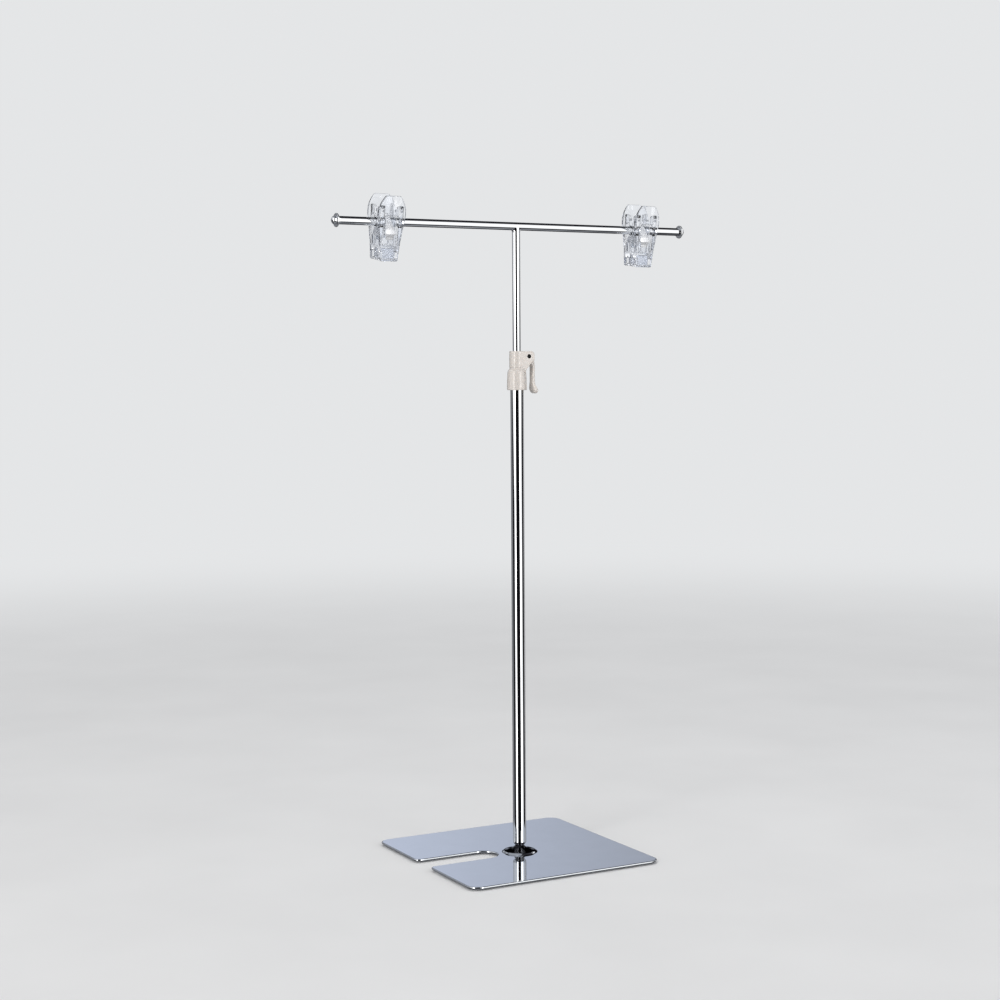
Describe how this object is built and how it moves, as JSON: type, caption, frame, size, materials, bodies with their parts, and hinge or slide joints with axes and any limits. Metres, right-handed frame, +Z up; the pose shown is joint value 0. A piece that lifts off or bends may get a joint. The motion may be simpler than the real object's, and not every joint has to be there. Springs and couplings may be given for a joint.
{
  "type": "plastic bag holder",
  "caption": "Counter-top stand for plastic bags: slotted square base, telescopic post with a lever lock, and a swivelling cross bar with sliding sprung clips.",
  "frame": {"origin": "centre of the square base, on the surface the stand rests on", "axes": "+Z up, +X along the cross bar towards the side opposite the base slot, +Y away from the user"},
  "size_m": [0.3, 0.16, 0.4988],
  "materials": {
    "chrome": "mirror chrome plate",
    "ivory_plastic": "moulded ivory plastic, semi-gloss",
    "clear_plastic": "clear moulded plastic",
    "soft_grip": "translucent soft plastic",
    "spring_steel": "bright spring steel strip",
    "pin_steel": "dark steel pin",
    "zinc_steel": "zinc-plated steel",
    "nylon": "natural nylon",
    "foot_rubber": "black rubber"
  },
  "bodies": {
    "stand": {"base_plate": "chrome", "foot_front_left": "foot_rubber", "foot_front_right": "foot_rubber", "foot_rear_left": "foot_rubber", "foot_rear_right": "foot_rubber", "base_screw": "zinc_steel", "base_washer": "zinc_steel", "tube_plug": "chrome", "lower_tube": "chrome", "lock_collar": "ivory_plastic", "lever_pin": "pin_steel"},
    "lever": {"lock_lever": "ivory_plastic"},
    "shoe": {"brake_shoe": "nylon"},
    "guide": {"guide_bush": "nylon"},
    "t_bar": {"inner_rod": "chrome", "rod_end_screw": "zinc_steel", "cross_bar": "chrome", "bar_end_cap_left": "chrome", "bar_end_cap_right": "chrome"},
    "left_slider": {"left_clip_sleeve": "clear_plastic"},
    "left_clip": {"left_clip_spring": "spring_steel"},
    "left_front_jaw": {"left_front_leaf": "clear_plastic", "left_front_pad": "soft_grip"},
    "left_rear_jaw": {"left_rear_leaf": "clear_plastic", "left_rear_pad": "soft_grip"},
    "right_slider": {"right_clip_sleeve": "clear_plastic"},
    "right_clip": {"right_clip_spring": "spring_steel"},
    "right_front_jaw": {"right_front_leaf": "clear_plastic", "right_front_pad": "soft_grip"},
    "right_rear_jaw": {"right_rear_leaf": "clear_plastic", "right_rear_pad": "soft_grip"}
  },
  "joints": [
    {"name": "lock_lever_flip", "type": "hinge", "parent": "stand", "child": "lever", "pos_m": [0.0077, -0.005, 0.38075], "axis": [0, -1, 0], "range_deg": [0, 90]},
    {"name": "shoe_release", "type": "slide", "parent": "stand", "child": "shoe", "axis": [1, 0, 0], "range_m": [0, 0.0003]},
    {"name": "post_height", "type": "slide", "parent": "stand", "child": "guide", "axis": [0, 0, 1], "range_m": [-0.055, 0.17]},
    {"name": "bar_swivel", "type": "hinge", "parent": "guide", "child": "t_bar", "pos_m": [0, -0.005, 0.4778], "axis": [0, 0, 1], "continuous": true},
    {"name": "left_clip_slide", "type": "slide", "parent": "t_bar", "child": "left_slider", "axis": [1, 0, 0], "range_m": [-0.0275, 0.092]},
    {"name": "left_clip_swing", "type": "hinge", "parent": "left_slider", "child": "left_clip", "pos_m": [-0.1072, -0.005, 0.4778], "axis": [1, 0, 0], "continuous": true},
    {"name": "left_jaw_open", "type": "hinge", "parent": "left_clip", "child": "left_front_jaw", "pos_m": [-0.1072, -0.005, 0.4778], "axis": [-1, 0, 0], "range_deg": [0, 12], "stiffness_Nm_per_rad": 0.6, "springref_deg": -17.19, "deforming": ["left_clip_spring"]},
    {"name": "left_rear_jaw_open", "type": "hinge", "parent": "left_clip", "child": "left_rear_jaw", "pos_m": [-0.1072, -0.005, 0.4778], "axis": [1, 0, 0], "range_deg": [0, 12]},
    {"name": "right_clip_slide", "type": "slide", "parent": "t_bar", "child": "right_slider", "axis": [1, 0, 0], "range_m": [-0.095, 0.0245]},
    {"name": "right_clip_swing", "type": "hinge", "parent": "right_slider", "child": "right_clip", "pos_m": [0.1098, -0.005, 0.4778], "axis": [1, 0, 0], "continuous": true},
    {"name": "right_jaw_open", "type": "hinge", "parent": "right_clip", "child": "right_front_jaw", "pos_m": [0.1098, -0.005, 0.4778], "axis": [-1, 0, 0], "range_deg": [0, 12], "stiffness_Nm_per_rad": 0.6, "springref_deg": -17.19, "deforming": ["right_clip_spring"]},
    {"name": "right_rear_jaw_open", "type": "hinge", "parent": "right_clip", "child": "right_rear_jaw", "pos_m": [0.1098, -0.005, 0.4778], "axis": [1, 0, 0], "range_deg": [0, 12]}
  ],
  "couplings": [
    {"joint": "shoe_release", "follows": "lock_lever_flip", "m_per_rad": 0.00019},
    {"joint": "left_rear_jaw_open", "follows": "left_jaw_open", "ratio": 1},
    {"joint": "right_rear_jaw_open", "follows": "right_jaw_open", "ratio": 1}
  ]
}
